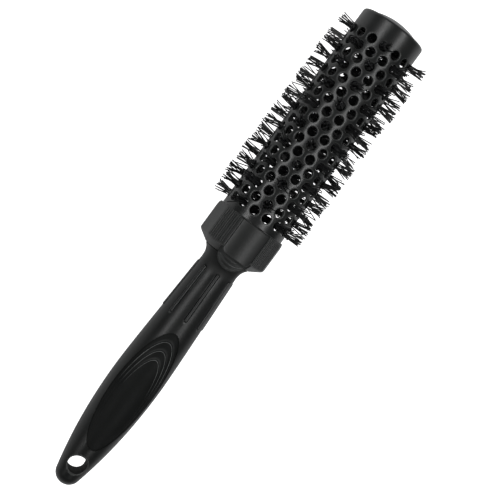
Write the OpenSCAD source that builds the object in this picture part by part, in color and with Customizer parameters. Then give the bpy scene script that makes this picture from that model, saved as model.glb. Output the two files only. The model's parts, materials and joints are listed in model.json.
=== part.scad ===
// Round barrel hair brush: a moulded handle, a perforated barrel, and nylon tufts that a
// twisted wire core holds and that pass out through the barrel's holes.
//
// Each piece is drawn along local +Z, from the tail end at 0 to the crown of the end cap,
// with local +X towards the front (thumb) side. at_rest() then lays the brush along +X,
// front side up. Angles about the axis are counted from the front side, towards local +Y.

/* [Handle] */
// Length of the handle, from the tail end to the collar
handle_l = 126.2; // [118:0.1:136]
// Radius of the rounded tail end
tail_r = 6.2; // [5.5:0.1:6.4]
// Largest radius of the grip
swell_r = 11.9; // [11:0.1:13]
// Smallest radius of the neck
neck_r = 9.3; // [8.8:0.1:9.8]
// Radius of the grip's flared upper end
flare_r = 11.8; // [11:0.1:12.4]
// Radius of the hang hole
hang_r = 4.4; // [4:0.1:5]
// Distance of the hang hole's centre from the tail end
hang_x = 12; // [11.5:0.1:14]

/* [Thumb panels] */
// Length of a thumb panel
panel_l = 64; // [50:0.1:66]
// Half width of a thumb panel
panel_w = 9.7; // [8:0.1:10]
// Number of terraces that step down into a thumb panel
terraces = 4; // [2:1:4]
// Depth of each terrace
terrace_d = 0.22; // [0.1:0.01:0.3]

/* [Neck ribs] */
// Length of a rib
rib_l = 25.5; // [20:0.5:27]
// Width of a rib
rib_w = 1.3; // [1:0.1:1.6]
// Height of a rib above the neck
rib_h = 0.5; // [0.3:0.1:0.8]

/* [Collar] */
// Radius of the collar at its corners
collar_r = 17.8; // [17.5:0.1:18.5]
// Length of the collar
collar_l = 18.8; // [16:0.1:20]
// Half angle that the smooth front and back panels span
plate_angle = 25; // [20:1:28]
// Distance between the fine grooves on the flats
groove_pitch = 1.2; // [1:0.1:1.5]

/* [Barrel] */
// Outer radius of the barrel
barrel_r = 16; // [15.8:0.1:16.4]
// Length of barrel that shows beyond the collar
barrel_l = 106.9; // [106:0.1:112]
// Thickness of the barrel's wall
barrel_wall = 1; // [0.8:0.1:1.2]
// Radius of a vent hole
vent_r = 2.25; // [1.8:0.05:2.4]
// Number of rows of vent holes
rows = 18; // [10:1:18]
// Distance between rows of vent holes
row_pitch = 5.33; // [5.1:0.01:5.4]
// Distance from the collar to the first row of vent holes
first_row = 5.1; // [4.8:0.1:6]

/* [End cap] */
// Radius of the domed disc
dome_r = 13.8; // [13.2:0.1:14]
// Rise of the dome above the barrel's rim
dome_rise = 3; // [2.5:0.1:4.5]

/* [Bristles] */
// Radius of the circle of bristle tips
tip_r = 24.3; // [22:0.1:26]
// Radius of a tuft where it leaves the barrel
tuft_r = 1.25; // [1:0.05:1.5]
// Radius of a tuft at its tip
tuft_tip_r = 2.1; // [1.6:0.1:2.4]

/* [Hidden] */
rib_nodes = ["neck_rib_1", "neck_rib_2", "neck_rib_3", "neck_rib_4",
             "neck_rib_5", "neck_rib_6", "neck_rib_7", "neck_rib_8"];
tuft_nodes = ["bristle_column_0", "bristle_column_1", "bristle_column_2", "bristle_column_3",
              "bristle_column_4", "bristle_column_5", "bristle_column_6", "bristle_column_7",
              "bristle_column_8", "bristle_column_9"];

$fn = 96;
rib_count = 8;                         // ribs round the neck, one for each name in rib_nodes
columns = 10;                          // tuft columns round the barrel, one for each name in tuft_nodes
vents_per_row = 15;                    // every third vent has a tuft, so 3 vents for each two columns
rows_turn = -8;                        // turn of the odd rows about the axis, from the front side

eps = 0.01;                            // overshoot of a cut
reach = 40;                            // further from the axis than any surface
gap = 0.05;                            // play between pieces that are pressed together
front = 0;                             // angle of the front side
back = 180;                            // angle of the back side

collar_top = handle_l + collar_l;      // where the barrel comes out of the collar
rim_x = collar_top + barrel_l;         // the barrel's outer end
brush_l = rim_x + dome_rise;
swell_x = 0.464 * handle_l;            // where the grip is thickest
neck_x = handle_l - 6.7;               // where the neck starts to flare
nose_x = 4.2;                          // where the tail's round end meets the grip's curve

// Control points [radius, x] that pull the grip's curves between the nose, the swell, the neck and the flare
tail_pull = [0.807 * swell_r, 0.16 * handle_l];
swell_pull_below = [swell_r, 0.3 * handle_l];
swell_pull_above = [swell_r, 0.535 * handle_l];
neck_pull_below = [neck_r + 1.2, neck_x - 25.5];
neck_pull_above = [neck_r - 0.15, neck_x + 3];
flare_pull = [neck_r + 0.7, neck_x + 5.2];

core_r = 5;                            // corner radius of the six-sided core
core_x = 24;                           // where the core starts, clear of the hang hole
boss_r = 8;                            // the core inside the collar
seat_l = 8;                            // how far the barrel goes down into the collar
spigot_l = 2.4;                        // how far the spigot reaches past the collar
spigot_r = barrel_r - barrel_wall - gap;
spigot_wall = 2;
hub_r = 3.2;                           // hubs that hold the wire core's ends

lip_r = 1.4;                           // rounding of the barrel's outer end
lip_in = lip_r - barrel_wall;
lip_centre = [barrel_r - lip_r, rim_x - lip_r];
lip_hole_r = barrel_r - lip_r - 0.2;   // opening inside the rolled lip
plug_l = 7;                            // depth of the end cap's plug
groove_d = 1.2;                        // depth of the ring groove round the dome
dome_edge = 0.3;                       // the dome's edge lies this far below the rim
hub_l = 7.8;                           // the end cap's hub starts this far below the rim
disc_t = 2.4;                          // the end cap's disc reaches this far below the rim
plug_wall = 1.4;                       // wall of the end cap's plug

panel_x = 21.3;                        // tail-side end of a thumb panel
panel_t = 1.2;                         // thickness of a thumb panel below its last terrace
terrace_step = 4.8;                    // each terrace ends this much short of the one before
terrace_in = 1.1;                      // and is this much narrower on each side
panel_play = 0.1;

rib_x = 104.9;                         // middle of a rib
rib_r = neck_r + 0.7;                  // radius of the neck there
rib_root = 0.8;                        // depth of a rib's root in the grip
rib_tilt = 2.8;                        // the neck's taper under a rib, in degrees

cone_l = 3.8;                          // length of the cone under the collar's flats
top_chamfer = [0.8, 0.9];              // chamfer [radius, x] at the collar's upper end

plate_x0 = handle_l + 1.4;             // a collar plate's lower end
plate_x1 = collar_top - 0.6;
plate_w = collar_r * sin(plate_angle) - 0.3;
plate_r = collar_r - 0.2;              // a collar plate's surface
plate_d = 1.4;                         // thickness of a collar plate
plate_gap = 0.35;                      // the shadow groove round a collar plate
plate_corner = 2.2;                    // rounding of its lower corners
groove_cut = 0.25;                     // depth of a fine groove
groove_w = 0.4;
groove_count = 5;                      // grooves on one flat
groove_stop = 2;                       // they end this far below the collar's upper end

tongue_x = handle_l + 3.3;             // upper end of the tongue below a plate
tongue_w = 8.2;                        // half width of a tongue, and radius of its lower edge
tongue_foot_x = neck_x + 2.2;          // where a tongue's cone starts
tongue_foot_r = 12;                    // its radius there
tongue_top_r = collar_r - 0.9;         // its radius at the upper end

wire_r = 0.55;                         // radius of one wire strand
wire_turn = 9;                         // length of one twist
wire_steps = 8;                        // slices in one twist
wire_x0 = collar_top - 6;
wire_x1 = rim_x - 3.2;
wire_hole_r = 2 * wire_r + 0.15;

core_clear = 2 * wire_r + 0.3;         // the tufts start just outside the wire
tuft_x = barrel_r + 0.2;               // a tuft starts to fan out here
waist_x = 5;                           // its strands have gathered to full width here
waist_r = 0.5;                         // radius of a tuft at the wire

axis_h = tip_r * cos(rows_turn) + tuft_tip_r * sin(abs(rows_turn));

// ---------------------------------------------------------------- helpers

// The brush at rest: lying along X, front side up, its lowest bristle tips at z = 0
module at_rest()
    translate([-brush_l / 2, 0, axis_h]) rotate([0, 90, 0]) rotate(180) children();

function bezier(p, t) =
    pow(1 - t, 3) * p[0] + 3 * t * pow(1 - t, 2) * p[1] + 3 * t * t * (1 - t) * p[2] + pow(t, 3) * p[3];

function curve(p, steps, from = 1) = [for (i = [from : steps]) bezier(p, i / steps)];

// Outline of the grip as [radius, x], let in by d
nose = [sqrt(pow(tail_r, 2) - pow(tail_r - nose_x, 2)), nose_x];
swell = [swell_r, swell_x];
neck = [neck_r, neck_x];
nose_curve = [for (a = [0 : 10 : 60]) [tail_r * sin(a), tail_r * (1 - cos(a))]];
swell_curve = curve([nose, tail_pull, swell_pull_below, swell], 9, 0);
neck_curve = curve([swell, swell_pull_above, neck_pull_below, neck], 9);
flare_curve = curve([neck, neck_pull_above, flare_pull, [flare_r, handle_l]], 6);
grip_curve = concat(nose_curve, swell_curve, neck_curve, flare_curve);
function grip_outline(d) =
    [for (p = grip_curve) [max(p[0] - d, 0), p[1]]];

module grip_body(d = 0)
    rotate_extrude() polygon(concat(grip_outline(d), [[0, handle_l]]));

// A prism that stands on the axis and points to the side at angle a
module towards(a)
    rotate(a) rotate([0, 90, 0]) linear_extrude(reach) rotate(90) children();

function ellipse(l, w, sides = 48) =
    [for (i = [0 : sides - 1]) [w * sin(360 * i / sides), l / 2 * cos(360 * i / sides)]];

// ---------------------------------------------------------------- handle

// Plan view of terrace i: each one is shorter at the neck end and a little narrower
module terrace_plan(i, play = 0) {
    l = panel_l - i * (terrace_step + 1);
    translate([0, panel_x + i + l / 2])
        polygon(ellipse(l + 2 * play, panel_w - i * terrace_in + play));
}

module panel_pocket(a)
    intersection() {
        towards(a) terrace_plan(0, panel_play);
        difference() {
            grip_body(-1);
            grip_body(terraces * terrace_d + panel_t + panel_play);
        }
    }

module thumb_panel(a)
    color("#2b2c2d")
        difference() {
            intersection() {
                towards(a) terrace_plan(0);
                grip_body(terrace_d);
            }
            grip_body(terraces * terrace_d + panel_t);
            for (i = [1 : terraces - 1])
                difference() {
                    towards(a) terrace_plan(i);
                    grip_body((i + 1) * terrace_d);
                }
        }

// A strip with round ends, its top rib_h above the neck
module rib_strip(a, play = 0) {
    w = rib_w / 2 + play;
    half = rib_l / 2 - rib_w / 2;
    rotate(a)
        translate([rib_r - rib_root, 0, rib_x])
            rotate([0, 90 - rib_tilt, 0])
                linear_extrude(rib_root + rib_h) {
                    square([2 * half, 2 * w], center = true);
                    for (end = [-half, half]) translate([end, 0]) circle(w, $fn = 24);
                }
}

module neck_rib(i)
    color("#343536") rib_strip(360 * i / rib_count);

module handle_grip()
    color("#222325")
        difference() {
            grip_body();
            translate([0, 0, core_x - gap])
                cylinder(r = core_r + gap, h = handle_l, $fn = 6);
            translate([0, 0, hang_x]) rotate([0, 90, 0]) cylinder(r = hang_r, h = reach, center = true);
            panel_pocket(front);
            panel_pocket(back);
            for (i = [0 : rib_count - 1]) rib_strip(360 * i / rib_count, gap / 2);
        }

// The stiff spine: six-sided in the grip, then a round boss and the spigot for the barrel
module handle_core()
    color("#18191a")
        difference() {
            union() {
                translate([0, 0, core_x]) cylinder(r = core_r, h = handle_l - core_x, $fn = 6);
                translate([0, 0, handle_l]) cylinder(r = boss_r, h = collar_l - seat_l);
                translate([0, 0, collar_top - seat_l]) difference() {
                    cylinder(r = spigot_r, h = seat_l + spigot_l);
                    translate([0, 0, spigot_wall]) difference() {
                        cylinder(r = spigot_r - spigot_wall, h = seat_l + spigot_l);
                        cylinder(r = hub_r, h = seat_l + spigot_l);
                    }
                }
            }
            translate([0, 0, wire_x0 - gap]) cylinder(r = wire_hole_r, h = 2 * seat_l);
        }

// ---------------------------------------------------------------- collar

// Ten corners: five on each side, between the front plate and the back plate
corner_step = (180 - 2 * plate_angle) / 4;
groove_turn = plate_angle + corner_step / 2;
collar_corners = [for (side = [front, back]) for (k = [0 : 4]) side + plate_angle + k * corner_step];

// The turned shape that trims the flats: a cone below and a small chamfer on top
module collar_turning()
    rotate_extrude() polygon([[0, handle_l + gap], [flare_r, handle_l + gap],
        [collar_r, handle_l + cone_l], [collar_r, collar_top - top_chamfer[1]],
        [collar_r - top_chamfer[0], collar_top], [0, collar_top]]);

// Fine grooves along one flat, whose middle is at angle a
module flat_grooves(a) {
    flat_r = collar_r * cos(corner_step / 2);
    rotate(a) for (i = [-(groove_count - 1) / 2 : (groove_count - 1) / 2])
        translate([flat_r - groove_cut, i * groove_pitch - groove_w / 2, handle_l])
            cube([2 * groove_cut, groove_w, collar_l - groove_stop]);
}

// The tongue below a plate: a piece of cone with a round lower edge
module tongue(a)
    intersection() {
        rotate_extrude() polygon([[neck_r + 0.25, tongue_foot_x], [tongue_foot_r, tongue_foot_x],
            [tongue_top_r, tongue_x - 0.2], [tongue_top_r, tongue_x],
            [flare_r + 0.15, tongue_x], [flare_r + 0.15, handle_l],
            [neck_r + 1.05, handle_l - 2.2]]);
        towards(a) translate([0, tongue_x]) circle(tongue_w);
    }

// Outline of a collar plate, with round lower corners, grown by d
module plate_plan(d) {
    w = plate_w + d;
    c = plate_corner + d;
    translate([-w, plate_x0 + plate_corner]) square([2 * w, plate_x1 - plate_x0 - plate_corner + d]);
    translate([c - w, plate_x0 - d]) square([2 * (w - c), c + eps]);
    for (side = [-1, 1])
        translate([side * (w - c), plate_x0 + plate_corner]) circle(c, $fn = 32);
}

module ring(r0, r1)
    translate([0, 0, handle_l]) difference() {
        cylinder(r = r1, h = collar_l);
        translate([0, 0, -eps]) cylinder(r = r0, h = collar_l + 2 * eps);
    }

module collar_plate(a)
    color("#3a3c3c")
        intersection() {
            towards(a) plate_plan(0);
            ring(plate_r - plate_d, plate_r);
        }

module collar()
    color("#2e3030")
        difference() {
            union() {
                intersection() {
                    linear_extrude(collar_top)
                        polygon([for (a = collar_corners) collar_r * [cos(a), sin(a)]]);
                    collar_turning();
                }
                tongue(front);
                tongue(back);
            }
            translate([0, 0, handle_l - eps]) cylinder(r = boss_r + gap, h = collar_l);
            translate([0, 0, collar_top - seat_l - gap]) cylinder(r = barrel_r + gap, h = seat_l + 1);
            for (a = [front, back])
                intersection() {
                    towards(a) plate_plan(plate_gap);
                    ring(plate_r - plate_d - gap, collar_r + 1);
                }
            for (a = [front, back])
                for (turn = [-groove_turn, groove_turn]) flat_grooves(a + turn);
        }

// ---------------------------------------------------------------- barrel

function vent_angle(row, i) = rows_turn + (i + (row % 2 == 0 ? 0.5 : 0)) * 360 / vents_per_row;
function row_x(row) = collar_top + first_row + row * row_pitch;

module barrel_tube()
    color("#26282a")
        difference() {
            rotate_extrude() polygon(concat(
                [[barrel_r - barrel_wall, collar_top - seat_l], [barrel_r, collar_top - seat_l]],
                [for (a = [0 : 15 : 90]) lip_centre + lip_r * [cos(a), sin(a)]],
                [[lip_hole_r, rim_x], [lip_hole_r, rim_x - barrel_wall]],
                [for (a = [90 : -30 : 0]) lip_centre + lip_in * [cos(a), sin(a)]]));
            for (row = [0 : rows - 1])
                for (i = [0 : vents_per_row - 1])
                    rotate(vent_angle(row, i)) translate([0, 0, row_x(row)])
                        rotate([0, 90, 0]) translate([0, 0, barrel_r - 3 * barrel_wall])
                            cylinder(r = vent_r, h = 4 * barrel_wall, $fn = 32);
        }

// A snap-in cap: hollow plug, neck through the lip, domed disc, and a hub for the wire core
module end_cap() {
    dome_ball_r = (pow(dome_r, 2) + pow(dome_rise + dome_edge, 2)) / (2 * (dome_rise + dome_edge));
    dome_half = asin(dome_r / dome_ball_r);
    plug_r = barrel_r - barrel_wall - gap;
    shelf_x = rim_x - lip_r - gap;
    color("#202327")
        difference() {
            rotate_extrude() polygon(concat(
                [[0, rim_x - hub_l], [hub_r, rim_x - hub_l], [hub_r, rim_x - disc_t],
                 [plug_r - plug_wall, rim_x - disc_t], [plug_r - plug_wall, rim_x - plug_l],
                 [plug_r, rim_x - plug_l], [plug_r, shelf_x], [lip_hole_r - gap, shelf_x],
                 [lip_hole_r - gap, rim_x - groove_d], [dome_r, rim_x - groove_d]],
                [for (i = [0 : 10]) let (a = dome_half * (1 - i / 10))
                    [dome_ball_r * sin(a), brush_l - dome_ball_r * (1 - cos(a))]]));
            translate([0, 0, rim_x - hub_l - eps]) cylinder(r = wire_hole_r, h = hub_l - disc_t);
        }
}

// ---------------------------------------------------------------- bristles

module wire_strand(turn)
    color("#8d9092")
        translate([0, 0, wire_x0]) rotate(turn)
            linear_extrude(wire_x1 - wire_x0, twist = -360 * (wire_x1 - wire_x0) / wire_turn,
                           slices = floor((wire_x1 - wire_x0) / wire_turn * wire_steps), $fn = 8)
                translate([wire_r + gap, 0]) circle(wire_r);

// One bundle of nylon strands, from the wire core out through a vent hole
module tuft()
    rotate([0, 90, 0]) {
        translate([0, 0, core_clear]) cylinder(r1 = waist_r, r2 = tuft_r, h = waist_x - core_clear);
        translate([0, 0, waist_x]) cylinder(r = tuft_r, h = tuft_x - waist_x);
        translate([0, 0, tuft_x]) cylinder(r1 = tuft_r, r2 = tuft_tip_r, h = tip_r - tuft_x);
    }

// Columns lie over every third line of holes, so they alternate between odd and even rows
module bristle_column(c) {
    turn = rows_turn + c * 360 / columns;
    color("#151617")
        for (row = [0 : rows - 1])
            if ((row + c) % 2 == 1)
                rotate(turn) translate([0, 0, row_x(row)]) tuft($fn = 24);
}

// ---------------------------------------------------------------- the brush

at_rest() handle_core();
at_rest() handle_grip();
at_rest() thumb_panel(front);  // thumb_panel_front
at_rest() thumb_panel(back);  // thumb_panel_back
for (i = [0 : rib_count - 1])
    at_rest() neck_rib(i);
at_rest() collar();
at_rest() collar_plate(front);  // collar_plate_front
at_rest() collar_plate(back);  // collar_plate_back
at_rest() barrel_tube();
at_rest() end_cap();
at_rest() wire_strand(0);  // wire_strand_a
at_rest() wire_strand(180);  // wire_strand_b
for (c = [0 : columns - 1])
    at_rest() bristle_column(c);
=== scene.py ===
"""Looks of the round barrel hair brush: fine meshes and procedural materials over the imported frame."""
import json
import math

import bmesh
import bpy
import numpy as np
from mathutils import Matrix, Vector


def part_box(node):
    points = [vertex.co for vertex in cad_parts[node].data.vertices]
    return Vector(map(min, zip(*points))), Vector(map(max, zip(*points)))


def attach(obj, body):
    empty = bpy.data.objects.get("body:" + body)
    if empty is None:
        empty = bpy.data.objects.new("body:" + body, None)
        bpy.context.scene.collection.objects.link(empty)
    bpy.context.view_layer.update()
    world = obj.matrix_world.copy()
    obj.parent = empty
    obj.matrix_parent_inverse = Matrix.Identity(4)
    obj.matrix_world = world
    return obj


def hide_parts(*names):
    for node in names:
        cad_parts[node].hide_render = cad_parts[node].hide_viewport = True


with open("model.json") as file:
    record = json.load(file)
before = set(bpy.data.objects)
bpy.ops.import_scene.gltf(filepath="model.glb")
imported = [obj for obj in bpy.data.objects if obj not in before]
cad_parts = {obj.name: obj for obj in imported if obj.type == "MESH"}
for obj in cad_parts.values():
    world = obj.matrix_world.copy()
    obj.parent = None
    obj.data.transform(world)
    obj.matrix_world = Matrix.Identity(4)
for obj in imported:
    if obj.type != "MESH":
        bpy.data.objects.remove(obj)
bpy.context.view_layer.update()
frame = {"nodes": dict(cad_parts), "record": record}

# ---------------------------------------------------------------- places, from the frame (mm)
# Along the brush, x is counted from the tail end. Angles are counted from the front (+Z) side
# towards -Y, as the handle is held.

MM = 0.001
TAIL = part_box("handle_grip")[0].x / MM


def along(node, end):
    """Distance in mm from the tail end to a CAD node's near (0) or far (1) end."""
    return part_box(node)[end].x / MM - TAIL


def radius(node):
    """Half the width of a CAD node, in mm."""
    low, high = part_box(node)
    return (high.y - low.y) / 2 / MM


barrel_low, barrel_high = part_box("barrel_tube")
AXIS_Z = (barrel_low.z + barrel_high.z) / 2 / MM
HANDLE_L = along("handle_grip", 1)
COLLAR_TOP = along("collar", 1)
RIM = along("barrel_tube", 1)
CROWN = along("end_cap", 1)
BARREL_R = radius("barrel_tube")
COLLAR_R = radius("collar")
SWELL_R = radius("handle_grip")
HANG = next(m for m in frame["record"]["mounts"] if m["name"] == "hang_hole")
HANG_X = HANG["pos_m"][0] / MM - TAIL
HANG_R = HANG["dims"]["r_mm"]

FRONT, BACK = 0.0, 180.0
TAIL_R = 6.2                     # the grip's round nose ends at NOSE_X
NOSE_X = 4.2
SWELL_X = 0.464 * HANDLE_L       # its widest place
NECK_R = 9.3                     # its narrowest place, at NECK_X
NECK_X = HANDLE_L - 6.7
FLARE_R = 11.8                   # its end under the collar
ABOVE = 1.5 * SWELL_R            # a height that is clear of the grip, for cutters
HANG_FILLET = 0.8

PANEL_X = along("thumb_panel_front", 0)
PANEL_L = along("thumb_panel_front", 1) - PANEL_X
PANEL_W = radius("thumb_panel_front")
TERRACES, TERRACE_D, TERRACE_STEP, TERRACE_IN = 4, 0.22, 4.8, 1.1
TERRACE_FOOT = 0.55              # how far outside a terrace's outline its step starts
TERRACE_LIP = -0.35              # and how far inside it the step ends
POCKET_FLOOR = 5.0
POCKET_FILLET = 0.1
PANEL_SEAM, PANEL_EDGE = 0.03, 0.12

RIBS = 8
RIB_X = (along("neck_rib_1", 0) + along("neck_rib_1", 1)) / 2
RIB_L = along("neck_rib_1", 1) - along("neck_rib_1", 0)
RIB_W = 2 * radius("neck_rib_1")
RIB_H = 0.5                      # how far a strip stands out
RIB_SUNK = 0.6                   # and how deep it sits
SLOT_GAP, SLOT_DEPTH = 0.33, 0.5

PLATE_ANGLE = 25.0               # from a plate's middle to its edge
CORNER_STEP = (180 - 2 * PLATE_ANGLE) / 4
PLATE_W = COLLAR_R * math.sin(math.radians(PLATE_ANGLE)) - 0.3
CONE_L = 3.8
COLLAR_FOOT = HANDLE_L + 0.06
COLLAR_BORE = 8.2
SEAT = 7.9                       # how deep the barrel stands in the collar

WALL = 1.0
VENT_R = 2.25
VENTS = 15
ROWS = 18
ROWS_TURN = -8.0                 # angle of a vent in the odd rows
COLUMNS = 10
TUFT_TIP_R = 2.1                 # radius of a CAD tuft at its tip
TURN = math.radians(-ROWS_TURN)
# The lowest tufts touch the floor, and they lean by TURN.
TIP_R = (AXIS_Z - TUFT_TIP_R * math.sin(TURN)) / math.cos(TURN)
# A column with an even number has its tufts on rows 1, 3, ... 17.
ROW_PITCH = (along("bristle_column_0", 1) - along("bristle_column_0", 0) - 2 * TUFT_TIP_R) / (ROWS - 2)
FIRST_ROW = along("bristle_column_0", 0) + TUFT_TIP_R - ROW_PITCH


def place(x, r, a):
    """World points (metres) for distance x, radius r (mm) and angle a (degrees); arrays broadcast."""
    x, r, a = np.broadcast_arrays(np.asarray(x, float), np.asarray(r, float), np.radians(a))
    return np.stack([(x + TAIL) * MM, -r * np.sin(a) * MM, (AXIS_Z + r * np.cos(a)) * MM], -1)


def place_plan(x, y, z):
    """World points for distance x, offset y to the side and height z towards the front (mm)."""
    x, y, z = np.broadcast_arrays(np.asarray(x, float), np.asarray(y, float), np.asarray(z, float))
    return np.stack([(x + TAIL) * MM, -y * MM, (AXIS_Z + z) * MM], -1)


# ---------------------------------------------------------------- mesh helpers

def new_piece(name, verts, faces, material, slot, replaces=(), sharp=32):
    """A visible piece that rides on the brush and stands for the CAD nodes it replaces."""
    mesh = bpy.data.meshes.new(name)
    points = np.asarray(verts).reshape(-1, 3)
    mesh.from_pydata([tuple(v) for v in points], [], [tuple(map(int, f)) for f in faces])
    mesh.validate()
    piece = bpy.data.objects.new(name, mesh)
    bpy.context.scene.collection.objects.link(piece)
    mesh.materials.append(material)
    smooth(piece, sharp)
    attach(piece, "root")
    if replaces:
        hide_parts(*replaces)
    return piece


def smooth(piece, sharp):
    """Smooth shading, except over edges that bend by more than sharp degrees."""
    mesh = piece.data
    mesh.polygons.foreach_set("use_smooth", [True] * len(mesh.polygons))
    mesh.set_sharp_from_angle(angle=math.radians(sharp))
    mesh.update()


def mark_relief(piece, shade_mask=None, keep=None):
    """Stores how far each vertex stands out (up to 1) or lies in a corner (down to -1).

    The materials lighten what stands out as scuffing with a painted highlight, and dull corners as dirt with
    painted shade. The shade mask says how far (0 to 1) points lie in painted shade in any case, and keep gives the
    share of relief that stays.
    """
    flat, span = 8, 20  # a bend of up to flat degrees isn't an edge, and one of flat + span is a full one
    mesh = bmesh.new()
    mesh.from_mesh(piece.data)
    relief = np.zeros(len(mesh.verts))
    for edge in mesh.edges:
        if len(edge.link_faces) == 2:
            bend = math.degrees(edge.calc_face_angle_signed(0.0))
            value = math.copysign(min(max((abs(bend) - flat) / span, 0), 1), bend)
            for vert in edge.verts:
                if abs(value) > abs(relief[vert.index]):
                    relief[vert.index] = value
    points = np.array([vert.co for vert in mesh.verts]) / MM - [TAIL, 0, AXIS_Z]
    if shade_mask is not None:
        relief = np.where(shade_mask(points) > 0.05, -shade_mask(points), relief)
    if keep is not None:
        relief *= keep(points)
    mesh.free()
    layer = piece.data.attributes.new("relief", "FLOAT", "POINT")
    layer.data.foreach_set("value", relief)


def grid_faces(rows, cols, wrap_cols=True, wrap_rows=False, start=0, flip=False):
    """Quads of a grid whose vertices run along the columns first."""
    i = np.arange(rows if wrap_rows else rows - 1)[:, None]
    j = np.arange(cols if wrap_cols else cols - 1)[None, :]
    i2, j2 = (i + 1) % rows, (j + 1) % cols
    quads = np.stack([i * cols + j, i * cols + j2, i2 * cols + j2, i2 * cols + j], -1).reshape(-1, 4)
    return (quads[:, ::-1] if flip else quads) + start


def rings_to_solid(rings):
    """Verts and faces of a skin over rings of points, (rows, cols, 3), with its ends capped."""
    rows, cols = rings.shape[:2]
    faces = grid_faces(rows, cols).tolist()
    faces.append(list(range(cols))[::-1])
    faces.append([(rows - 1) * cols + k for k in range(cols)])
    return rings.reshape(-1, 3), faces


def turned(profile, segments):
    """A closed ring profile [(x, r), ...] turned about the axis."""
    profile = np.asarray(profile, float)
    a = np.arange(segments) * 360 / segments
    verts = place(profile[:, :1], profile[:, 1:], a[None, :]).reshape(-1, 3)
    return verts, grid_faces(len(profile), segments, wrap_rows=True).tolist()


def arc(cx, cr, r, a0, a1, steps):
    """Points (x, r) of an arc about (cx, cr); angle 0 is outwards, 90 towards the tip."""
    a = np.radians(np.linspace(a0, a1, steps))
    return [(cx + r * math.sin(t), cr + r * math.cos(t)) for t in a]


def cut(piece, cutter_verts, cutter_faces):
    """Takes a closed shape out of a piece, for good."""
    mesh = bpy.data.meshes.new("cutter")
    mesh.from_pydata([tuple(v) for v in cutter_verts], [], cutter_faces)
    cutter = bpy.data.objects.new("cutter", mesh)
    bpy.context.scene.collection.objects.link(cutter)
    bpy.context.view_layer.update()
    tool = piece.modifiers.new("cut", "BOOLEAN")
    tool.operation = "DIFFERENCE"
    tool.solver = "EXACT"
    tool.object = cutter
    result = piece.evaluated_get(bpy.context.evaluated_depsgraph_get())
    cut_mesh = bpy.data.meshes.new_from_object(result)
    piece.modifiers.clear()
    old = piece.data
    piece.data = cut_mesh
    cut_mesh.name = piece.name
    bpy.data.meshes.remove(old)
    bpy.data.objects.remove(cutter)
    bpy.data.meshes.remove(mesh)


def weld(piece, distance=2e-6):
    """Joins vertices that lie within the distance, and turns every face outwards."""
    mesh = bmesh.new()
    mesh.from_mesh(piece.data)
    bmesh.ops.remove_doubles(mesh, verts=mesh.verts, dist=distance)
    bmesh.ops.recalc_face_normals(mesh, faces=mesh.faces)
    mesh.to_mesh(piece.data)
    mesh.free()


def bezier(p, t):
    """Points of a cubic Bezier curve with the four control points p, at the parameters t."""
    t = np.asarray(t, float)[:, None]
    p = np.asarray(p, float)
    return (1 - t) ** 3 * p[0] + 3 * t * (1 - t) ** 2 * p[1] + 3 * t * t * (1 - t) * p[2] + t ** 3 * p[3]


# ---------------------------------------------------------------- handle

def grip_profile():
    """Radius of the grip along x: a round nose, two long curves, and the flare under the collar."""
    nose_r = math.sqrt(TAIL_R ** 2 - (TAIL_R - NOSE_X) ** 2)
    nose_end = math.degrees(math.acos((TAIL_R - NOSE_X) / TAIL_R))
    t = np.linspace(0, 1, 61)
    nose = [(TAIL_R * (1 - math.cos(b)), TAIL_R * math.sin(b))
            for b in np.radians(np.linspace(1, nose_end, 14))]
    swell = bezier([(NOSE_X, nose_r), (0.16 * HANDLE_L, 0.807 * SWELL_R),
                    (0.3 * HANDLE_L, SWELL_R), (SWELL_X, SWELL_R)], t[1:])
    neck = bezier([(SWELL_X, SWELL_R), (0.535 * HANDLE_L, SWELL_R),
                   (NECK_X - 25.5, NECK_R + 1.2), (NECK_X, NECK_R)], t[1:])
    flare = bezier([(NECK_X, NECK_R), (NECK_X + 3, NECK_R - 0.15),
                    (NECK_X + 5.2, NECK_R + 0.7), (HANDLE_L, FLARE_R)], t[1::4])
    return np.vstack([nose, swell, neck, flare])


GRIP = grip_profile()


def grip_r(x):
    """Radius of the grip at distance x."""
    return np.interp(x, GRIP[:, 0], GRIP[:, 1])


def grip_top(x, y, depth=0.0):
    """Height of the grip's surface above the axis at side offset y, let in by depth."""
    return np.sqrt(np.maximum((grip_r(x) - depth) ** 2 - y ** 2, 0.01))


def mouth_rings(outline, fillet, bottom, steps):
    """Rings of a cutter that opens with a rounded mouth in the grip and goes down to bottom."""
    rings = []
    x, y = outline(fillet * 0.9)
    rings.append(place_plan(x, y, ABOVE))
    rings.append(place_plan(x, y, grip_top(x, y) + 0.6))
    for b in np.radians(np.linspace(20, 90, steps)):
        x, y = outline(fillet * (1 - math.sin(b)))
        rings.append(place_plan(x, y, grip_top(x, y) - fillet * (1 - math.cos(b))))
    x, y = outline(0.0)
    rings.append(place_plan(x, y, bottom))
    return rings


def circle_outline(cx, r, sides=96):
    """Plan outline of a circle, which grows by the given amount."""
    t = np.arange(sides) * 2 * np.pi / sides
    return lambda grow: (cx + (r + grow) * np.cos(t), (r + grow) * np.sin(t))


def terrace_outline(i, sides=144):
    """Plan outline of terrace i, which grows by the given amount."""
    length = PANEL_L - i * (TERRACE_STEP + 1)
    centre = PANEL_X + i + length / 2
    width = PANEL_W - i * TERRACE_IN
    t = np.arange(sides) * 2 * np.pi / sides
    return lambda grow: (centre + (length / 2 + grow) * np.cos(t), (width + grow) * np.sin(t))


def mirrored(rings):
    """The same rings on the back side of the brush."""
    rings = rings.copy()
    rings[..., 2] = 2 * AXIS_Z * MM - rings[..., 2]
    return rings[:, ::-1]


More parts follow.
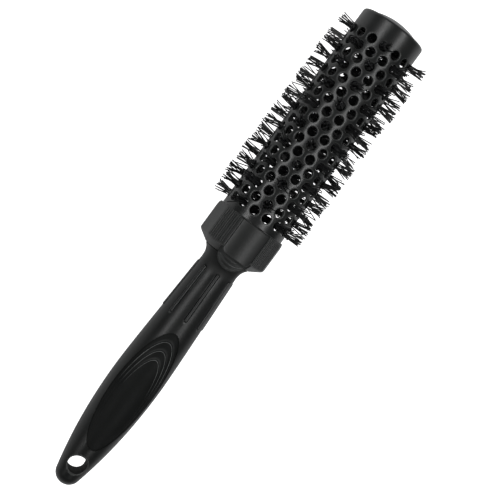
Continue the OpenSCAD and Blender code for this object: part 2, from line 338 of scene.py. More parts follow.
def strip_outline(length, width, sides=10):
    """Plan outline of a strip with round ends, which grows by the given amount."""
    t = np.radians(np.linspace(-90, 90, sides))
    ends = np.concatenate([np.cos(t), -np.cos(t)])
    sign = np.repeat([1, -1], sides)
    wave = np.concatenate([np.sin(t), -np.sin(t)])
    return lambda grow: (RIB_X + sign * (length - width) / 2 + (width / 2 + grow) * ends,
                         (width / 2 + grow) * wave)


def turned_about_axis(points, angle):
    """The same points, turned about the brush's axis from the front towards angle."""
    a = math.radians(angle)
    y, z = points[..., 1].copy(), points[..., 2] - AXIS_Z * MM
    points = points.copy()
    points[..., 1] = y * math.cos(a) - z * math.sin(a)
    points[..., 2] = y * math.sin(a) + z * math.cos(a) + AXIS_Z * MM
    return points


def grip_painted_shade(points):
    """Painted shade, as a duller finish, lies in the hang hole and on the flare where the tongues shelter it."""
    x, y, z = points.T
    hole = np.hypot(x - HANG_X, y) < HANG_R + 0.02
    flare = np.clip((x - NECK_X + 3.5) / 5, 0, 1) * np.clip((np.abs(z) - 4) / 4, 0, 1)
    return np.maximum(hole, flare)


def grip_scuff_and_highlight(points):
    """The pockets' rims are hidden under the panels, so they get no scuffing and no painted highlight."""
    return np.where(np.abs(points[:, 0] - PANEL_X - PANEL_L / 2) < PANEL_L / 2 + 1, 0, 1)


def make_grip(material):
    """The moulded grip: a turned body with the hang hole, two panel pockets and eight slots."""
    sides = 192
    a = np.arange(sides) * 360 / sides
    grip = new_piece("grip_body", *rings_to_solid(place(GRIP[:, :1], GRIP[:, 1:], a[None, :])),
                     material, "grip_plastic", ["handle_grip"])
    upper = mouth_rings(circle_outline(HANG_X, HANG_R), HANG_FILLET, 0.0, 5)[:-1]
    lower = [r * [1, 1, -1] + [0, 0, 2 * AXIS_Z * MM] for r in upper]
    cutters = [np.array(upper + lower[::-1])]
    pocket = np.array(mouth_rings(terrace_outline(0), POCKET_FILLET, POCKET_FLOOR, 4))
    cutters += [pocket, mirrored(pocket)]
    x, y = strip_outline(RIB_L, RIB_W)(SLOT_GAP)
    slot = np.array([place_plan(x, y, grip_r(x) - SLOT_DEPTH), place_plan(x, y, ABOVE)])[::-1]
    cutters += [turned_about_axis(slot, 360 / RIBS * k) for k in range(RIBS)]
    verts, faces = [], []
    for rings in cutters:
        start = sum(map(len, verts))
        more, skin = rings_to_solid(rings)
        verts.append(more)
        faces += [[start + k for k in face] for face in skin]
    cut(grip, np.concatenate(verts), faces)
    smooth(grip, 30)
    # painted shade in the hang hole and on the flare; scuffing and painted highlight on other edges, none at the
    # pockets' rims
    mark_relief(grip, grip_painted_shade, grip_scuff_and_highlight)


def panel_top(x, depth):
    """How deep a terrace lies: as deep as given near the neck, rising to the first near the tail."""
    fade = np.clip((x - PANEL_X) / PANEL_L / 0.6, 0, 1)
    return TERRACE_D + (depth - TERRACE_D) * fade


def panel_painted_highlight(points):
    """Painted highlights on the terraces' edges near the neck; the outer edge's painted highlight reaches further
    down.
    """
    share = (points[:, 0] - PANEL_X) / PANEL_L
    centre = PANEL_X + PANEL_L / 2
    rim = np.hypot((points[:, 0] - centre) / (PANEL_L / 2), points[:, 1] / PANEL_W) > 0.985
    return np.where(rim, 0.75 * np.clip((share - 0.2) / 0.3, 0, 1), np.clip((share - 0.5) / 0.25, 0, 1))


def make_panel(name, side, material, node):
    """A leaf-shaped inlay whose top steps down in nested terraces, which die out towards the tail."""
    rings = []

    def add_rim(grow, depth):
        x, y = terrace_outline(0)(grow)
        rings.append(place_plan(x, y, grip_top(x, y, depth)))

    def add_top(x, y, depth):
        rings.append(place_plan(x, y, grip_top(x, y, panel_top(x, depth))))

    x, y = terrace_outline(0)(-PANEL_SEAM)
    rings.append(place_plan(x, y, POCKET_FLOOR + 0.2))
    add_rim(-PANEL_SEAM, TERRACE_D + PANEL_EDGE + 0.5)
    for b in np.radians([0, 30, 60, 90]):
        add_rim(-PANEL_SEAM - PANEL_EDGE * (1 - math.cos(b)), TERRACE_D + PANEL_EDGE * (1 - math.sin(b)))
    inner = terrace_outline(0)(-PANEL_SEAM - PANEL_EDGE)
    for i in range(1, TERRACES):
        above, top = TERRACE_D * i, TERRACE_D * (i + 1)
        outer = terrace_outline(i)(TERRACE_FOOT)
        for f in (0.33, 0.66):
            add_top(inner[0] + (outer[0] - inner[0]) * f, inner[1] + (outer[1] - inner[1]) * f, above)
        # the step: a low crest, a short slope and a flat
        for grow, depth in ((TERRACE_FOOT, above), (0.3, above - 0.05), (0.15, above - 0.03),
                            (0.05, above + 0.06), (0.0, top - 0.05), (-0.1, top), (TERRACE_LIP, top)):
            add_top(*terrace_outline(i)(grow), depth)
        inner = terrace_outline(i)(TERRACE_LIP)
    x, y = inner
    for f in np.linspace(0.9, 0.04, 14):
        add_top(x.mean() + (x - x.mean()) * f, y * f, TERRACE_D * TERRACES)
    rings = np.array(rings)
    if side == BACK:
        rings = mirrored(rings)
    verts, faces = rings_to_solid(rings)
    panel = new_piece(name, verts, faces, material, "panel_rubber", [node], 40)
    mark_relief(panel, keep=panel_painted_highlight)


def make_ribs(material):
    """Eight raised strips with round ends that follow the neck's taper."""
    # u runs along a strip and v across it, both from -1 to 1
    end_share = (1 - np.cos(np.linspace(0, np.pi / 2, 9))) * RIB_W / RIB_L
    middle = np.linspace(-1, 1, 28)[1:-1] * (1 - RIB_W / RIB_L)
    u = np.concatenate([-1 + end_share, middle, 1 - end_share[::-1]])
    v = np.linspace(-1, 1, 13)[None, :]
    x = RIB_X + u * RIB_L / 2
    end = np.clip((1 - np.abs(u)) * RIB_L / RIB_W, 0, 1)
    half = (RIB_W / 2 * np.sqrt(np.maximum(1 - (1 - end) ** 2, 0.0004)))[:, None]
    surface = grip_r(x)[:, None]
    crown = RIB_H * (1 - v ** 4) ** 0.5 * np.minimum(1, half / (RIB_W / 2))
    r = np.concatenate([surface + crown, surface - RIB_SUNK + 0 * v], 1)
    y = np.concatenate([half * v, half * v[:, ::-1]], 1)
    for k in range(RIBS):
        a = 360 / RIBS * k + np.degrees(y / surface)
        verts, faces = rings_to_solid(place(x[:, None], r, a))
        mark_relief(new_piece(f"neck_strip_{k + 1}", verts, faces, material, "grip_rubber",
                              [f"neck_rib_{k + 1}"], 50))


# ---------------------------------------------------------------- collar

def polygon_r(a):
    """Radius of the ten-sided collar at angle a, with slightly rounded corners."""
    folded = np.abs((np.asarray(a, float) + 180) % 180)
    folded = np.minimum(folded, 180 - folded)
    middles = [0.0, PLATE_ANGLE + CORNER_STEP / 2, PLATE_ANGLE + 1.5 * CORNER_STEP, 90 + CORNER_STEP / 2]
    spans = [PLATE_ANGLE] + [CORNER_STEP / 2] * 3
    # the floor of 0.3 keeps a flat on the far side from counting
    near = [COLLAR_R * math.cos(math.radians(s)) / np.maximum(np.cos(np.radians(folded - m)), 0.3)
            for m, s in zip(middles, spans)]
    soft = 14.0  # the larger, the sharper the corners
    return -np.log(sum(np.exp(-soft * r) for r in near)) / soft


def turning_r(x):
    """Radius of the turned shape that trims the flats: a cone below, a small chamfer on top."""
    cone = FLARE_R + (x - HANDLE_L) * (COLLAR_R - FLARE_R) / CONE_L
    chamfer = COLLAR_R - 0.8 + (COLLAR_TOP - x) * 0.8 / 0.9
    return np.minimum(np.minimum(cone, chamfer), COLLAR_R + 3)


def groove_depth(a):
    """Fine grooves along the flats beside the plates."""
    pitch, depth, margin = 1.2, 0.36, 1.2
    folded = np.abs((a + 90) % 180 - 90)
    middle = PLATE_ANGLE + CORNER_STEP / 2
    off = COLLAR_R * np.tan(np.radians(folded - middle))
    inside = np.clip((CORNER_STEP / 2 - margin - np.abs(folded - middle)) / 0.4, 0, 1)
    wave = np.clip(1.4 * np.cos(2 * np.pi * off / pitch) - 0.4, 0, 1)
    return depth * wave * inside


def make_collar(material):
    """The ten-sided ring with two pockets for the plates, and the tongues below them."""
    fine = np.arange(0, 360, 0.5)
    flats = [s + side * (PLATE_ANGLE + f) for s in (0, 180) for side in (-1, 1)
             for f in np.arange(0.5, CORNER_STEP, 0.25)]
    edge = math.degrees(math.asin((PLATE_W + 0.2) / COLLAR_R))
    walls = [s + side * (edge + d) for s in (0, 180) for side in (-1, 1) for d in (-0.03, 0.03)]
    a = np.unique(np.round(np.mod(np.concatenate([fine, flats, walls]), 360), 3))
    low, high = HANDLE_L + 1.15, COLLAR_TOP - 0.4
    shoulder, chamfer = HANDLE_L + 4.6, COLLAR_TOP - 1.2
    x = np.unique(np.round(np.concatenate([
        np.linspace(COLLAR_FOOT, shoulder, 30), np.linspace(shoulder, chamfer, 12),
        np.linspace(chamfer, COLLAR_TOP, 8), [low - 0.02, low + 0.02, high - 0.02, high + 0.02]]), 3))
    xx, aa = np.meshgrid(x, a, indexing="ij")
    poly = polygon_r(aa) - groove_depth(aa)
    turn = turning_r(xx)
    soft = 2.6  # the larger, the sharper the edge between the flats and the turned ends
    r = poly - np.log1p(np.exp(-soft * (turn - poly))) / soft
    folded = np.abs((aa + 90) % 180 - 90)
    pocket = (folded < edge) & (xx > low) & (xx < high)
    r = np.where(pocket, np.minimum(r, COLLAR_R - 1.65), r)
    outer = place(xx, r, aa)
    bore = [(COLLAR_TOP, BARREL_R + 0.45), (chamfer, BARREL_R + 0.05), (COLLAR_TOP - SEAT, BARREL_R + 0.05),
            (COLLAR_TOP - SEAT, COLLAR_BORE), (COLLAR_FOOT, COLLAR_BORE)]
    rings = np.concatenate([outer, np.array([place(px, pr, a) for px, pr in bore])])
    verts, faces = rings.reshape(-1, 3), grid_faces(len(rings), len(a), wrap_rows=True).tolist()
    collar = new_piece("collar_body", verts, faces, material, "collar_plastic", ["collar"], 28)
    mark_relief(collar)
    for name, side in (("front", FRONT), ("back", BACK)):
        make_tongue(f"collar_tongue_{name}", side, material)


def make_tongue(name, side, material):
    """The piece of ribbed cone that reaches down below a plate, with a rounded lower lip."""
    centre, reach, lip, across = HANDLE_L + 3.3, 8.15, 0.35, 97
    waves, wave_depth = 4, 0.3
    y = np.sin(np.linspace(-np.pi / 2, np.pi / 2, across)) * reach
    bottom = centre - np.sqrt(np.maximum(reach ** 2 - y ** 2, 0))
    rings = []

    def cone_r(x):
        return np.interp(x, [NECK_X + 2.2, centre - 0.2, centre], [12.0, COLLAR_R - 0.9, COLLAR_R - 0.85])

    def add_row(x, lift):
        a = side + np.degrees(np.arcsin(np.clip(y / cone_r(x), -1, 1)))
        rings.append(place(x, cone_r(x) + lift, a))

    add_row(np.minimum(bottom + lip, centre), -1.6)
    for b in np.radians([-60, -30, 0, 30, 60, 90]):
        add_row(np.minimum(bottom + lip * (1 - math.cos(b)), centre), -lip + lip * math.sin(b))
    start = np.minimum(bottom + 0.5, centre)
    for f in np.linspace(0.06, 1, 34):
        add_row(start + (centre - start) * f, -wave_depth * (0.5 - 0.5 * math.cos(2 * math.pi * waves * f)))
    add_row(np.full(across, centre), -2.6)
    rings = np.array(rings)
    faces = grid_faces(len(rings), across, wrap_cols=False, wrap_rows=True).tolist()
    piece = new_piece(name, rings, faces, material, "collar_plastic", (), 40)
    piece.data.flip_normals()
    # painted shade: the top of the tongue, under the plate's lower edge, gets a duller finish
    mark_relief(piece, lambda p: 1.0 * (p[:, 0] > HANDLE_L + 0.2))


def make_plate(name, side, material, node):
    """A smooth curved plate with a rounded edge and round lower corners."""
    x0, x1, low_corner, top_corner, edge = HANDLE_L + 1.4, COLLAR_TOP - 0.6, 2.2, 0.5, 0.28
    top_r = COLLAR_R - 0.2
    t = np.radians(np.linspace(0, 90, 12))[:, None]

    def outline(inset):
        low, high, w = x0 + inset, x1 - inset, PLATE_W - inset
        c, s = max(low_corner - inset, 0.2), max(top_corner - inset, 0.05)
        lower = np.hstack([low + c * (1 - np.cos(t)), -w + c * (1 - np.sin(t))])
        upper = np.hstack([high - s * (1 - np.sin(t)), -w + s * (1 - np.cos(t))])
        side_x = np.linspace(lower[-1, 0], upper[0, 0], 14)[1:-1]
        half = np.vstack([lower, np.stack([side_x, np.full(12, -w)], 1), upper])
        top_y = np.linspace(upper[-1, 1], -upper[-1, 1], 16)[1:-1]
        low_y = np.linspace(-lower[0, 1], lower[0, 1], 16)[1:-1]
        return np.vstack([half, np.stack([np.full(14, high), top_y], 1), half[::-1] * [1, -1],
                          np.stack([np.full(14, low), low_y], 1)])

    rings = []

    def add(pts, r):
        a = side + np.degrees(np.arcsin(np.clip(pts[:, 1] / top_r, -1, 1)))
        rings.append(place(pts[:, 0], r, a))

    add(outline(0.0), top_r - 1.3)
    for b in np.radians([0, 22, 45, 67, 90]):
        add(outline(edge * (1 - math.cos(b))), top_r - edge * (1 - math.sin(b)))
    base = outline(edge)
    mid = base.mean(0)
    for f in np.linspace(0.93, 0.03, 12):
        add(mid + (base - mid) * f, top_r)
    verts, faces = rings_to_solid(np.array(rings)[:, ::-1])
    plate = new_piece(name, verts, faces, material, "collar_plate", [node], 40)
    mark_relief(plate)


# ---------------------------------------------------------------- barrel

def row_x(row):
    """Distance of a row of vents from the tail."""
    return FIRST_ROW + row * ROW_PITCH


def row_turn(row):
    """Angle of a row's first vent; every other row is half a step further round."""
    return ROWS_TURN + (180 / VENTS if row % 2 == 0 else 0)


def make_barrel(material):
    """A perforated tube: one cell round each vent, plain bands at both ends, and a rolled lip."""
    across, up = 12, 6
    cell = 360 / VENTS
    inner = BARREL_R - WALL
    rounding, inner_rounding = 0.32, 0.15
    # outline of a cell, counted round from its lower left corner, and the matching angles of the vent
    low = [(i / across - 0.5, -0.5) for i in range(across)]
    right = [(0.5, i / up - 0.5) for i in range(up)]
    top = [(0.5 - i / across, 0.5) for i in range(across)]
    left = [(-0.5, 0.5 - i / up) for i in range(up)]
    edge = np.array(low + right + top + left)
    edge_mm = edge * [math.radians(cell) * BARREL_R, ROW_PITCH]
    turn = np.unwrap(np.arctan2(edge_mm[:, 1], edge_mm[:, 0]))
    even = np.linspace(turn[0], turn[0] + 2 * np.pi, len(turn), endpoint=False)
    turn = 0.35 * turn + 0.65 * even
    circle = np.stack([np.cos(turn), np.sin(turn)], 1)
    rings = [(edge_mm, BARREL_R)]
    rings.append((0.5 * edge_mm + 0.5 * circle * (VENT_R + rounding + 0.1), BARREL_R))
    for b in np.radians([0, 30, 60, 90]):
        rings.append((circle * (VENT_R + rounding * (1 - math.sin(b))), BARREL_R - rounding * (1 - math.cos(b))))
    for b in np.radians([60, 0]):
        rings.append((circle * (VENT_R + inner_rounding * (1 - math.sin(b))),
                      inner + inner_rounding * (1 - math.cos(b))))
    rings.append((edge_mm, inner))
    count = len(edge)
    verts, faces = [], []
    for row in range(ROWS):
        for i in range(VENTS):
            faces += grid_faces(len(rings), count, start=len(verts) * count, flip=True).tolist()
            for pts, r in rings:
                a = row_turn(row) + i * cell + np.degrees(pts[:, 0] / BARREL_R)
                verts.append(place(row_x(row) + pts[:, 1], r, a))
    sides = VENTS * across
    a = ROWS_TURN + np.arange(sides) * (cell / across)

    def band(points):
        pts = np.asarray(points, float)
        faces.extend(grid_faces(len(pts), sides, start=sum(map(len, verts))).tolist())
        verts.append(place(pts[:, :1], pts[:, 1:], a[None, :]).reshape(-1, 3))

    first, last = row_x(0) - ROW_PITCH / 2, row_x(ROWS - 1) + ROW_PITCH / 2
    foot = COLLAR_TOP - SEAT + 0.1
    band([(first, inner), (foot, inner), (foot, BARREL_R), (COLLAR_TOP, BARREL_R), (first, BARREL_R)])
    lip, lip_in = 1.4, 0.4
    outer = arc(RIM - lip, BARREL_R - lip, lip, 0, 90, 9)
    back = arc(RIM - lip, BARREL_R - lip, lip_in, 90, 0, 4)
    band([(last, BARREL_R), ((last + RIM) / 2, BARREL_R)] + outer + [(RIM, BARREL_R - lip - 0.2)]
         + [(RIM - WALL, BARREL_R - lip - 0.2)] + back + [(last, inner)])
    barrel = new_piece("barrel_shell", np.concatenate(verts), faces, material, "barrel_coating",
                       ["barrel_tube"], 60)
    weld(barrel)
    smooth(barrel, 60)
    mark_relief(barrel)


def make_cap(material):
    """Hollow plug, neck through the lip, ring groove, and a shallow dome with a gate mark."""
    dome_r, rise, dip = 13.8, CROWN - RIM, 0.3
    ball = (dome_r ** 2 + (rise + dip) ** 2) / (2 * (rise + dip))
    half = math.asin(dome_r / ball)
    plug = BARREL_R - WALL - 0.05
    lip_hole = BARREL_R - 1.6
    shelf = RIM - 1.45
    web, socket_foot, plug_foot, neck = RIM - 2.4, RIM - 7.8, RIM - 7, RIM - 1.2
    socket_r, plug_wall = 3.2, 1.4
    profile = [(web, 0.02), (socket_foot, 0.02), (socket_foot, socket_r), (web, socket_r), (web, plug - plug_wall),
               (plug_foot, plug - plug_wall), (plug_foot, plug), (shelf, plug), (shelf, lip_hole - 0.05),
               (neck, lip_hole - 0.05), (neck, dome_r)]
    profile += [(RIM - dip - 0.35, dome_r), (RIM - dip - 0.1, dome_r - 0.08)]
    for f in np.linspace(0.985, 0.03, 26):
        b = half * f
        profile.append((CROWN - ball * (1 - math.cos(b)), ball * math.sin(b)))
    profile += [(CROWN - 0.01, 0.42), (CROWN - 0.12, 0.34), (CROWN - 0.14, 0.1)]
    verts, faces = turned(profile, 160)
    cap = new_piece("cap_dome", verts, faces, material, "cap_plastic", ["end_cap"], 35)
    weld(cap, 4e-5)
    smooth(cap, 35)
    mark_relief(cap)


# ---------------------------------------------------------------- bristles

OUTER_STRANDS, INNER_STRANDS = 16, 16
STRAND_R, STRAND_TAPER = 0.28, 0.02
WIRE_R = 1.45                    # where the strands come out of the wire core
VENT_SPREAD = 1.85               # how far from a vent's middle they pass
# These are (along the brush, round it).
LEAN = [0.6, 1.3]                # of a whole tuft
TIP_SPREAD = [1.5, 1.4]
INNER_SPREAD = [1.8, 3.0]


def make_wire(name, turn, material, node):
    """One strand of the twisted wire core."""
    x0, x1, pitch, r, off_axis, sides = COLLAR_TOP - 6, RIM - 3.2, 9.0, 0.55, 0.6, 10
    x = np.linspace(x0, x1, 260)[:, None]
    phase = np.radians(turn + 360 * (x - x0) / pitch)
    c = np.arange(sides) * 2 * np.pi / sides
    y = off_axis * np.sin(phase) + r * np.sin(c)
    z = off_axis * np.cos(phase) + r * np.cos(c)
    verts, faces = rings_to_solid(place_plan(x, y, z))
    new_piece(name, verts, faces, material, "steel_wire", [node], 50)


def strand(path, sides, side):
    """Rings of one nylon strand along a path, which tapers towards its tip."""
    r = STRAND_R - STRAND_TAPER * np.linspace(0, 1, len(path))[:, None, None]
    c = np.arange(sides) * 2 * np.pi / sides
    ring = np.cos(c)[None, :, None] * np.array([1, 0, 0]) + np.sin(c)[None, :, None] * side
    return path[:, None, :] + r * ring


def outer_path(rng, lean):
    """Axial and sideways offsets, at each distance from the axis, of a strand that leaves by a vent."""
    root = [rng.uniform(-1, 1), rng.normal(0, 0.25)]
    b, rho = rng.uniform(0, 2 * np.pi), math.sqrt(rng.uniform())
    vent = np.array([math.cos(b), math.sin(b)]) * rho * VENT_SPREAD
    tip = vent * 0.9 + lean + rng.normal(0, TIP_SPREAD)
    reach = TIP_R - 0.1 - abs(rng.normal(0, 0.8))
    throat = BARREL_R - 0.5
    r = np.array([WIRE_R, 6, 10, 13, throat, BARREL_R + 1.8, BARREL_R + 3.8, BARREL_R + 5.8, reach])
    inside = np.clip(r / throat, 0, 1)[:, None] ** 4
    outside = np.clip((r - BARREL_R + 0.5) / (TIP_R - BARREL_R + 0.5), 0, 1)[:, None] ** 1.15
    return r, root + (vent - root) * inside + (tip - vent) * outside


def inner_path(rng):
    """The same for a short strand that stays inside the barrel."""
    root = np.array([rng.uniform(-ROW_PITCH / 2, ROW_PITCH / 2), rng.normal(0, 0.3)])
    end = root + rng.normal(0, INNER_SPREAD)
    r = np.linspace(WIRE_R, rng.uniform(4, 9.5), 5)
    return r, root + (end - root) * (r / r[-1])[:, None]


def make_column(c, material, rng):
    """Nine tufts of black nylon strands that fan out above their vents, and shorter ones inside."""
    turn = math.radians(ROWS_TURN + c * 360 / COLUMNS)
    out = np.array([0, math.sin(turn), math.cos(turn)])
    side = np.array([0, math.cos(turn), -math.sin(turn)])
    verts, faces, count = [], [], 0
    for row in range(ROWS):
        if (row + c) % 2 == 0:
            continue
        lean = rng.normal(0, LEAN)
        for s in range(OUTER_STRANDS + INNER_STRANDS):
            sides, (r, off) = (5, outer_path(rng, lean)) if s < OUTER_STRANDS else (4, inner_path(rng))
            # a point that moves sideways keeps its distance from the axis
            drop = off[:, 1] ** 2 / (2 * np.maximum(r, 4))
            path = [row_x(row), 0, 0] + off[:, :1] * [1, 0, 0] + off[:, 1:] * side + (r - drop)[:, None] * out
            verts.append(strand(path, sides, side).reshape(-1, 3))
            faces += grid_faces(len(r), sides, start=count).tolist()
            faces.append([count + (len(r) - 1) * sides + i for i in range(sides)])
            count += len(r) * sides
    verts = place_plan(*np.concatenate(verts).T)
    new_piece(f"tufts_{c}", verts, faces, material, "nylon_bristle", [f"bristle_column_{c}"], 70)


# ---------------------------------------------------------------- materials

def nodes_of(name):
    """A new material, its node tree and its shader."""
    material = bpy.data.materials.new(name)
    material.use_nodes = True
    tree = material.node_tree
    return material, tree, tree.nodes["Principled BSDF"]


def add(tree, kind, **values):
    """A new node with the given settings, each of them a socket or a property."""
    node = tree.nodes.new(kind)
    for key, value in values.items():
        if key in node.inputs:
            node.inputs[key].default_value = value
        else:
            setattr(node, key, value)
    return node


def noise(tree, scale, detail, rough=0.55):
    """A noise texture in object space."""
    spot = add(tree, "ShaderNodeTexCoord")
    tex = add(tree, "ShaderNodeTexNoise")
    tex.inputs["Scale"].default_value = scale
    tex.inputs["Detail"].default_value = detail
    tex.inputs["Roughness"].default_value = rough
    tree.links.new(spot.outputs["Object"], tex.inputs["Vector"])
    return tex


def ramp(tree, source, low, high):
    """The colour that goes from low to high as a noise rises; low and high are colours or numbers."""
    node = add(tree, "ShaderNodeValToRGB")
    for element, position, value in zip(node.color_ramp.elements, (0.3, 0.7), (low, high)):
        element.position = position
        element.color = (*value, 1) if isinstance(value, tuple) else (value, value, value, 1)
    tree.links.new(source, node.inputs["Fac"])
    return node.outputs["Color"]


def math_node(tree, operation, a, b, clamp=False):
    """The result of a math node; a and b are sockets or numbers."""
    node = add(tree, "ShaderNodeMath", operation=operation, use_clamp=clamp)
    for socket, value in zip(node.inputs, (a, b)):
        if isinstance(value, (int, float)):
            socket.default_value = value
        else:
            tree.links.new(value, socket)
    return node.outputs["Value"]


def bump(tree, height, strength, distance, under=None):
    """A bump node's normal, on top of the normal under it."""
    node = add(tree, "ShaderNodeBump", Strength=strength, Distance=distance)
    tree.links.new(height.outputs["Fac"], node.inputs["Height"])
    if under is not None:
        tree.links.new(under, node.inputs["Normal"])
    return node.outputs["Normal"]


def moulded(name, dark, light, rough, grain, grain_scale, specular, scuff_and_highlight=0.0):
    """Black moulded plastic: faint mottling, uneven gloss, fine grain, edges lightened as scuffing with a painted
    highlight, and corners made duller as dirt with painted shade.
    """
    material, tree, shader = nodes_of(name)
    colour = ramp(tree, noise(tree, 90, 4).outputs["Fac"], dark, light)
    relief = add(tree, "ShaderNodeAttribute", attribute_name="relief").outputs["Fac"]
    patchy = noise(tree, 240, 3)
    # edges that stand out are mixed towards a lighter grey: scuffing plus a painted highlight
    scuffed_and_highlit = math_node(tree, "MULTIPLY", relief, math_node(tree, "ADD", patchy.outputs["Fac"], 0.3), True)
    # corners and hollows get a duller finish: dirt plus painted shade
    dirt_and_shade = math_node(tree, "MULTIPLY", relief, -1.0, True)
    scuff_highlight_mix = add(tree, "ShaderNodeMix", data_type="RGBA")
    tree.links.new(scuffed_and_highlit, scuff_highlight_mix.inputs["Factor"])
    tree.links.new(colour, scuff_highlight_mix.inputs["A"])
    scuff_highlight_mix.inputs["B"].default_value = (scuff_and_highlight * 0.97, scuff_and_highlight, scuff_and_highlight * 0.98, 1)
    tree.links.new(scuff_highlight_mix.outputs["Result"], shader.inputs["Base Color"])
    gloss = ramp(tree, noise(tree, 38, 5, 0.62).outputs["Fac"], *rough)
    dull = math_node(tree, "MULTIPLY", dirt_and_shade, 0.5)
    tree.links.new(math_node(tree, "ADD", gloss, dull, True), shader.inputs["Roughness"])
    shader.inputs["Specular IOR Level"].default_value = specular
    fine = bump(tree, noise(tree, grain_scale, 2), grain, 0.00012)
    broad = bump(tree, noise(tree, 160, 2), 0.08, 0.0006, fine)
    tree.links.new(broad, shader.inputs["Normal"])
    return material


def steel():
    """Drawn wire with uneven brightness."""
    material, tree, shader = nodes_of("drawn_wire")
    colour = ramp(tree, noise(tree, 300, 3).outputs["Fac"], (0.32, 0.32, 0.33), (0.5, 0.5, 0.51))
    tree.links.new(colour, shader.inputs["Base Color"])
    shader.inputs["Metallic"].default_value = 1.0
    shader.inputs["Roughness"].default_value = 0.35
    return material


def floor_material():
    """Plain pale floor that looks as white as the photo's background."""
    material, tree, shader = nodes_of("pale_floor")
    colour = ramp(tree, noise(tree, 40, 2).outputs["Fac"], (0.90, 0.90, 0.90), (0.92, 0.92, 0.92))
    tree.links.new(colour, shader.inputs["Base Color"])
    shader.inputs["Roughness"].default_value = 0.9
    shader.inputs["Specular IOR Level"].default_value = 0.1
    shader.inputs["Emission Color"].default_value = (1, 1, 1, 1)
    seen = add(tree, "ShaderNodeLightPath")
    tree.links.new(seen.outputs["Is Camera Ray"], shader.inputs["Emission Strength"])
    return material


# ---------------------------------------------------------------- studio

# The camera stands over the brush's axis, turned by SIDE_TURN about it. Places are in mm, from the
# tail end: along the brush, to its side, and towards the camera.
SIDE_TURN = -12.0
EYE = (151.2, 0.2, 651.8)
AIM = (134.5, 6.66, 0.0)
SLANT = 53.7                     # of the brush in the picture, in degrees
LENS, SENSOR = 104.9, 36

LIGHT_AWAY, LIGHT_L, LIGHT_W, LIGHT_POWER, LIGHT_X = 0.9, 1.2, 0.22, 4.2, 0.03
FLOOR_HALF = 3.0


def camera_axes():
    """The brush axis, the sideways direction and the direction towards the camera."""
    a = math.radians(SIDE_TURN)
    towards = Vector((0, -math.sin(a), math.cos(a)))
    axis = Vector((1, 0, 0))
    side = Vector((0, -math.cos(a), -math.sin(a)))
    return axis, side, towards


def axes_matrix(x, y, z, at):
    """The matrix of an object at a point, with the given axes."""
    return Matrix((
        (x.x, y.x, z.x, at.x), (x.y, y.y, z.y, at.y), (x.z, y.z, z.z, at.z), (0, 0, 0, 1)))


def make_camera():
    """The photo's view of the brush."""
    axis, side, towards = camera_axes()
    origin = Vector((TAIL * MM, 0, AXIS_Z * MM))
    eye, aim = (origin + (axis * p[0] + side * p[1] + towards * p[2]) * MM for p in (EYE, AIM))
    back = (eye - aim).normalized()
    tilt = math.radians(SLANT)
    up = axis * math.sin(tilt) - side * math.cos(tilt)
    right = up.cross(back).normalized()
    up = back.cross(right)
    data = bpy.data.cameras.new("camera")
    data.lens = LENS
    data.sensor_width = SENSOR
    data.clip_start, data.clip_end = 0.01, 20
    camera = bpy.data.objects.new("camera", data)
    camera.matrix_world = axes_matrix(right, up, back, eye)
    bpy.context.scene.collection.objects.link(camera)
    bpy.context.scene.camera = camera


def strip_light(name, angle):
    """A soft strip light that lies along the brush, at an angle from the camera's direction."""
    axis, side, towards = camera_axes()
    b = math.radians(angle)
    direction = towards * math.cos(b) + side * math.sin(b)
    data = bpy.data.lights.new(name, "AREA")
    data.shape = "RECTANGLE"
    data.size, data.size_y = LIGHT_L, LIGHT_W
    data.energy = LIGHT_POWER
    light = bpy.data.objects.new(name, data)
    across = axis.cross(direction).normalized()
    middle = Vector((LIGHT_X, 0, AXIS_Z * MM)) + direction * LIGHT_AWAY
    light.matrix_world = axes_matrix(axis, across, direction, middle)
    bpy.context.scene.collection.objects.link(light)


def make_studio():
    """Pale floor, faint sky, pale backdrop and two strip lights."""
    mesh = bpy.data.meshes.new("floor")
    corners = [(x * FLOOR_HALF, y * FLOOR_HALF, 0) for x, y in ((-1, -1), (1, -1), (1, 1), (-1, 1))]
    mesh.from_pydata(corners, [], [(0, 1, 2, 3)])
    floor = bpy.data.objects.new("floor", mesh)
    mesh.materials.append(floor_material())
    bpy.context.scene.collection.objects.link(floor)
    world = bpy.data.worlds.new("studio")
    world.use_nodes = True
    tree = world.node_tree
    sky = tree.nodes["Background"]
    sky.inputs["Color"].default_value = (0.93, 0.97, 1.0, 1)
    sky.inputs["Strength"].default_value = 0.14
    backdrop = tree.nodes.new("ShaderNodeBackground")
    backdrop.inputs["Color"].default_value = (0.9, 0.9, 0.9, 1)
    seen = tree.nodes.new("ShaderNodeLightPath")
    mix = tree.nodes.new("ShaderNodeMixShader")
    tree.links.new(seen.outputs["Is Camera Ray"], mix.inputs["Fac"])
    tree.links.new(sky.outputs["Background"], mix.inputs[1])
    tree.links.new(backdrop.outputs["Background"], mix.inputs[2])
    tree.links.new(mix.outputs["Shader"], tree.nodes["World Output"].inputs["Surface"])
    bpy.context.scene.world = world
    strip_light("left_strip", -27)
    strip_light("right_strip", 38)
    bpy.context.scene.view_settings.view_transform = "Standard"
    bpy.context.scene.view_settings.exposure = 0.0


# ---------------------------------------------------------------- the brush

make_camera()
make_studio()

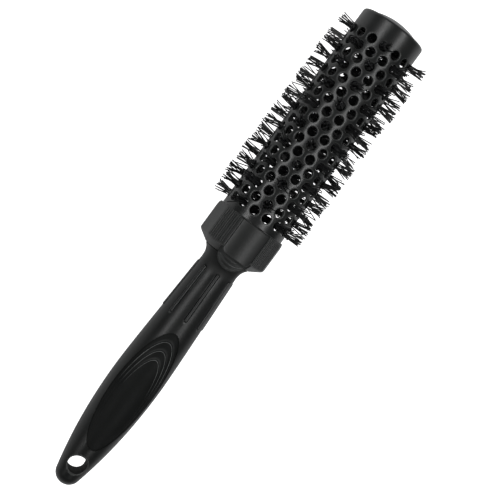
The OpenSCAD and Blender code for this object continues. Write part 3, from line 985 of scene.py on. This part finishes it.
grip_plastic = moulded("grip_plastic", (0.0038, 0.0043, 0.0040), (0.0068, 0.0074, 0.0069),
                       (0.30, 0.42), 0.22, 2600, 0.33, 0.09)
# the panel's lighter edges are painted highlights on its terraces
panel_rubber = moulded("panel_rubber", (0.0028, 0.0033, 0.0030), (0.0048, 0.0054, 0.0049),
                       (0.50, 0.64), 0.3, 3200, 0.13, 0.16)
strip_rubber = moulded("strip_rubber", (0.0050, 0.0056, 0.0052), (0.0085, 0.0092, 0.0086),
                       (0.34, 0.46), 0.3, 3200, 0.4, 0.03)
collar_plastic = moulded("collar_plastic", (0.0105, 0.0114, 0.0108), (0.0170, 0.0180, 0.0172),
                         (0.34, 0.46), 0.3, 2400, 0.45, 0.05)
plate_plastic = moulded("plate_plastic", (0.0085, 0.0092, 0.0086), (0.0130, 0.0138, 0.0131),
                        (0.36, 0.46), 0.12, 2600, 0.37, 0.04)
barrel_black = moulded("barrel_black", (0.0055, 0.0061, 0.0058), (0.0092, 0.0098, 0.0093),
                       (0.24, 0.34), 0.2, 3000, 0.5, 0.06)
cap_black = moulded("cap_black", (0.0040, 0.0048, 0.0056), (0.0070, 0.0080, 0.0094),
                    (0.24, 0.34), 0.15, 2800, 0.4, 0.04)
nylon = moulded("nylon", (0.0060, 0.0064, 0.0068), (0.0120, 0.0125, 0.0128),
                (0.30, 0.44), 0.1, 2000, 0.45)
wire = steel()

make_grip(grip_plastic)
make_panel("panel_front", FRONT, panel_rubber, "thumb_panel_front")
make_panel("panel_back", BACK, panel_rubber, "thumb_panel_back")
make_ribs(strip_rubber)
make_collar(collar_plastic)
make_plate("plate_front", FRONT, plate_plastic, "collar_plate_front")
make_plate("plate_back", BACK, plate_plastic, "collar_plate_back")
make_barrel(barrel_black)
make_cap(cap_black)
make_wire("wire_a", 0, wire, "wire_strand_a")
make_wire("wire_b", 180, wire, "wire_strand_b")
random = np.random.default_rng(7)
for column in range(COLUMNS):
    make_column(column, nylon, random)
core = frame["nodes"]["handle_core"].data
core.materials.clear()
core.materials.append(grip_plastic)
